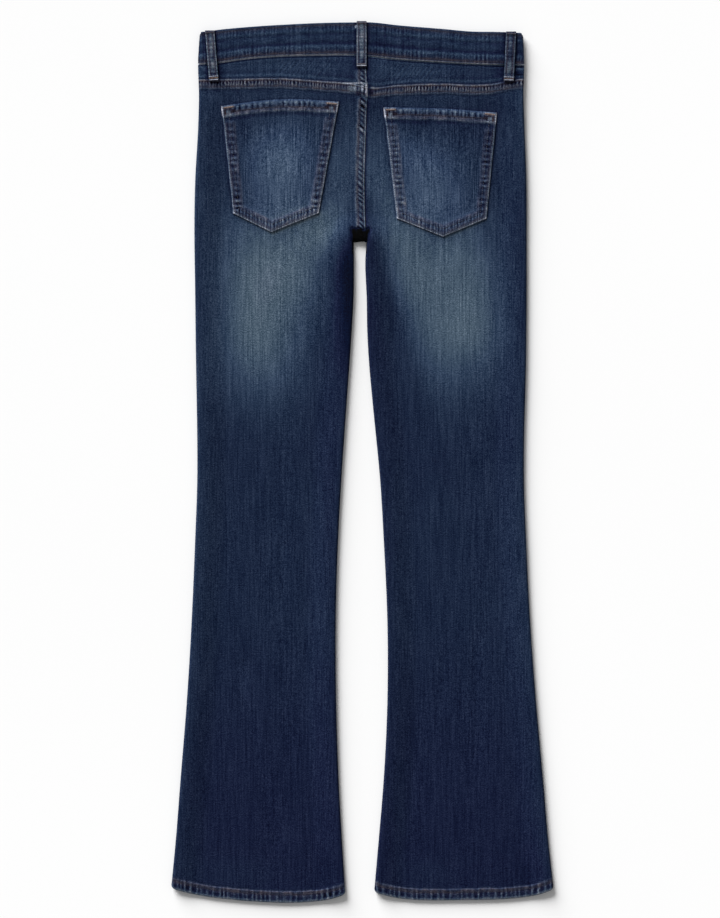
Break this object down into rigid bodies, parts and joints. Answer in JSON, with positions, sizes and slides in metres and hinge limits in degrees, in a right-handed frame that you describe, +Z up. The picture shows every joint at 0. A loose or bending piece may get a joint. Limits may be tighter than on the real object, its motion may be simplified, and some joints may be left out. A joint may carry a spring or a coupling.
{
  "type": "bootcut jeans laid flat",
  "caption": "Denim bootcut jeans laid flat with the back up: waistband with belt loops, pointed yokes, patch pockets, and legs that flare below the knee.",
  "frame": {"origin": "centre of the bounding box on the surface that the jeans lie on", "axes": "+Y from the hems to the waist, +X across towards the wearer's right, +Z up from the surface, through the front and then the back"},
  "size_m": [0.4778, 1.102, 0.0104],
  "materials": {
    "denim": "washed dark indigo twill",
    "denim_worn": "faded indigo twill, lighter where it rubs",
    "zip_tape": "woven tape",
    "brass": "antiqued",
    "thread": "copper topstitching"
  },
  "bodies": {
    "root": {"waistband": "denim", "belt_loop_back_left": "denim_worn", "belt_loop_back_centre": "denim_worn", "belt_loop_back_right": "denim_worn", "belt_loop_front_left": "denim_worn", "belt_loop_front_right": "denim_worn", "yoke_left": "denim", "yoke_right": "denim", "back_panel_left": "denim", "back_panel_right": "denim", "back_pocket_left": "denim_worn", "back_pocket_right": "denim_worn", "front_panel_left": "denim", "front_panel_right": "denim", "front_pocket_facing_left": "denim", "front_pocket_facing_right": "denim", "fly_zip": "zip_tape", "zip_slider": "brass", "waist_button": "brass"}
  },
  "joints": []
}
